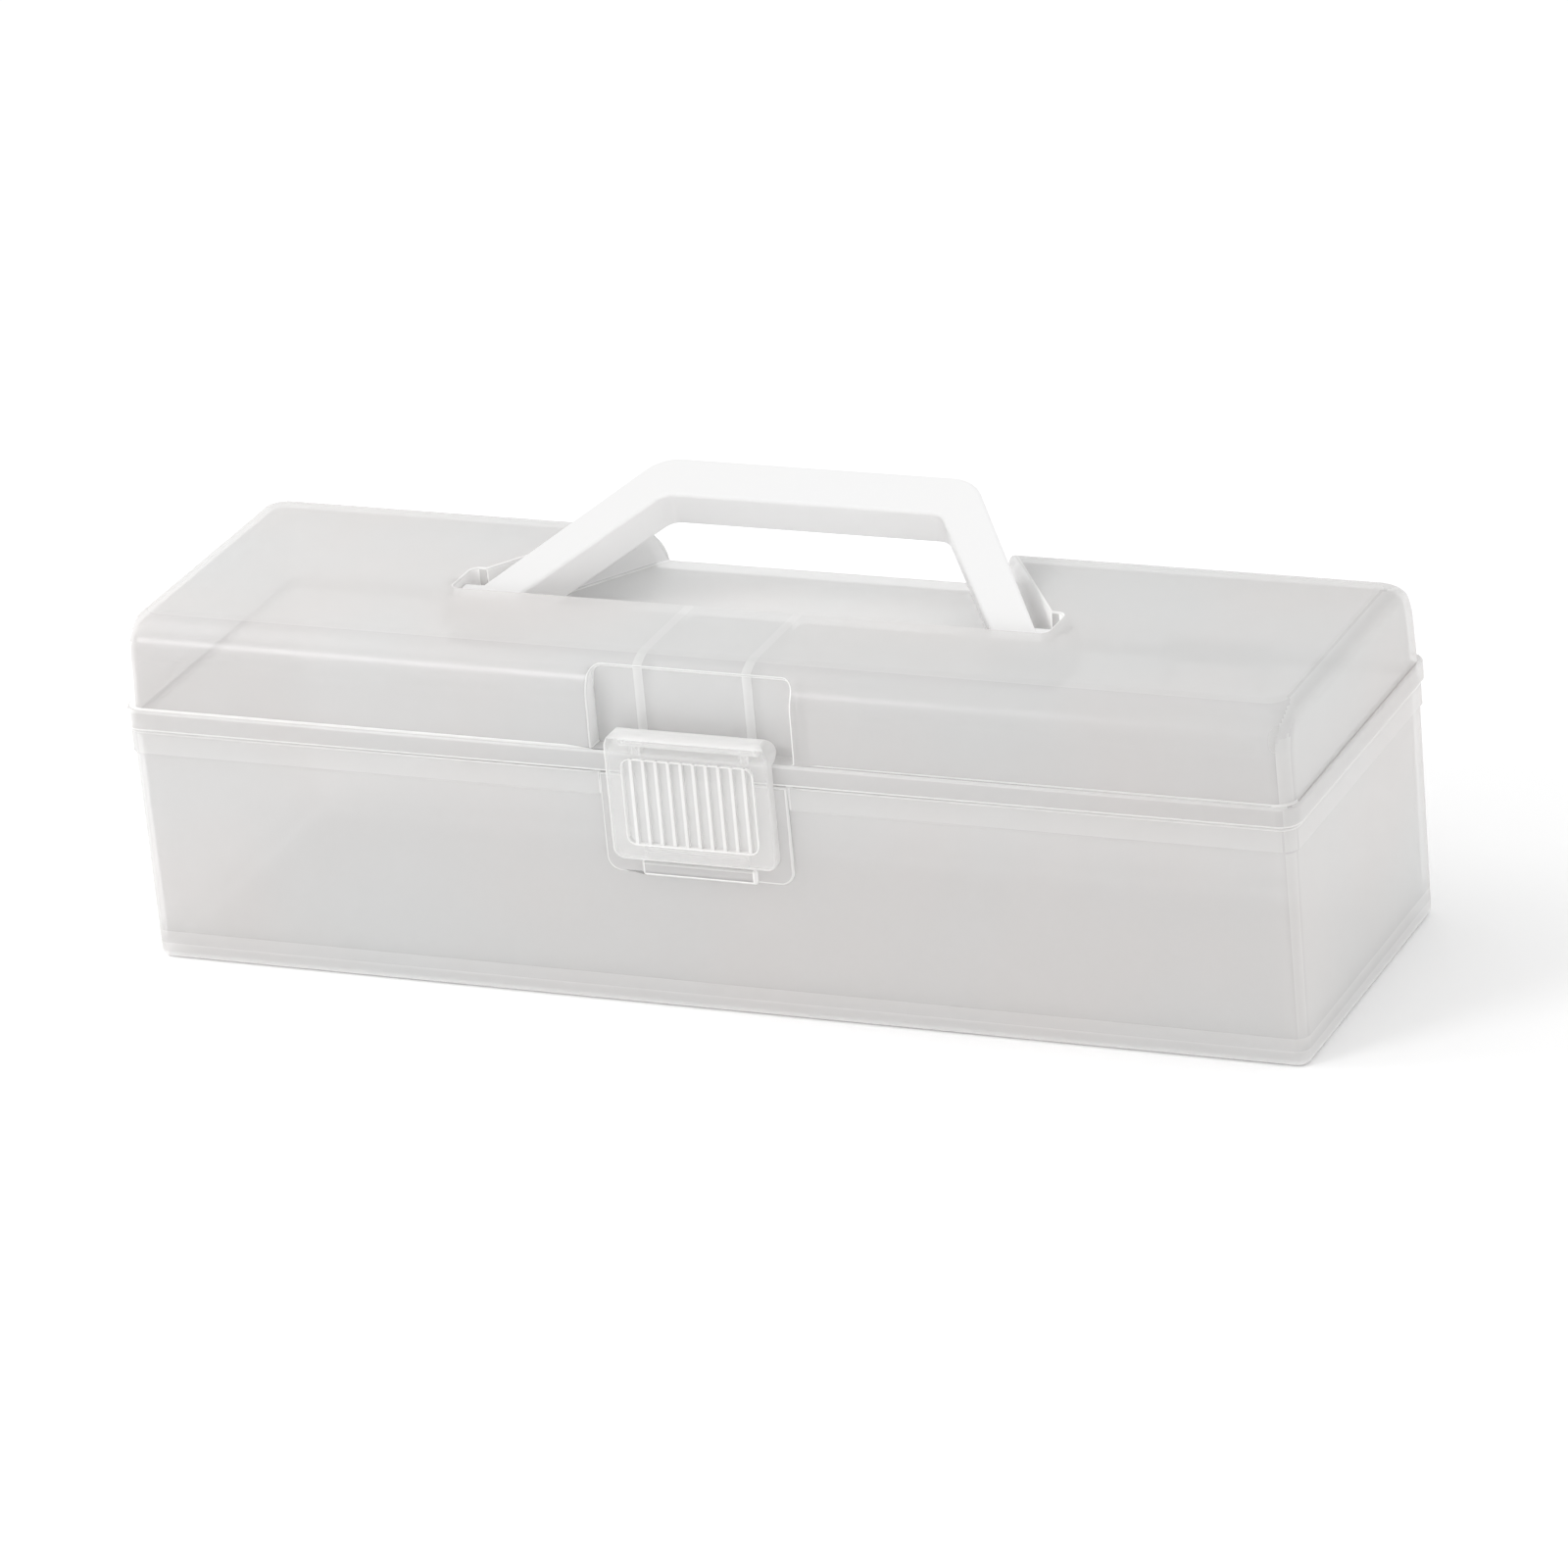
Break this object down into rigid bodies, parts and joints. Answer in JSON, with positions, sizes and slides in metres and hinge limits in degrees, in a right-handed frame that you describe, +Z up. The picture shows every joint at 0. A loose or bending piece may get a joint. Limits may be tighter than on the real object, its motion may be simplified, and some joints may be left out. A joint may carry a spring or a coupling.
{
  "type": "art supply box",
  "caption": "Long translucent plastic art supply box with a hinged lid, a front latch that snaps shut and a swinging carrying handle that folds into a recess in the lid.",
  "frame": {"origin": "centre of the flat underside of the base", "axes": "+X along the box's length, -Y towards the latch side, +Y towards the lid hinge, +Z up"},
  "size_m": [0.33, 0.1138, 0.1159],
  "materials": {
    "frosted_plastic": "frosted translucent polypropylene with a satin surface",
    "white_plastic": "opaque white polypropylene with a satin surface"
  },
  "bodies": {
    "base": {"base": "frosted_plastic"},
    "lid": {"lid": "frosted_plastic"},
    "latch": {"latch": "frosted_plastic"},
    "handle": {"handle": "white_plastic"}
  },
  "joints": [
    {"name": "lid_hinge", "type": "hinge", "parent": "base", "child": "lid", "pos_m": [0, 0.0555, 0.06655], "axis": [-1, 0, 0], "range_deg": [0, 105]},
    {"name": "latch_hinge", "type": "hinge", "parent": "lid", "child": "latch", "pos_m": [0, -0.0515, 0.076], "axis": [-1, 0, 0], "range_deg": [0, 110]},
    {"name": "handle_hinge", "type": "hinge", "parent": "lid", "child": "handle", "pos_m": [0, -0.0032, 0.0893], "axis": [1, 0, 0], "range_deg": [-23.6, 68]}
  ]
}
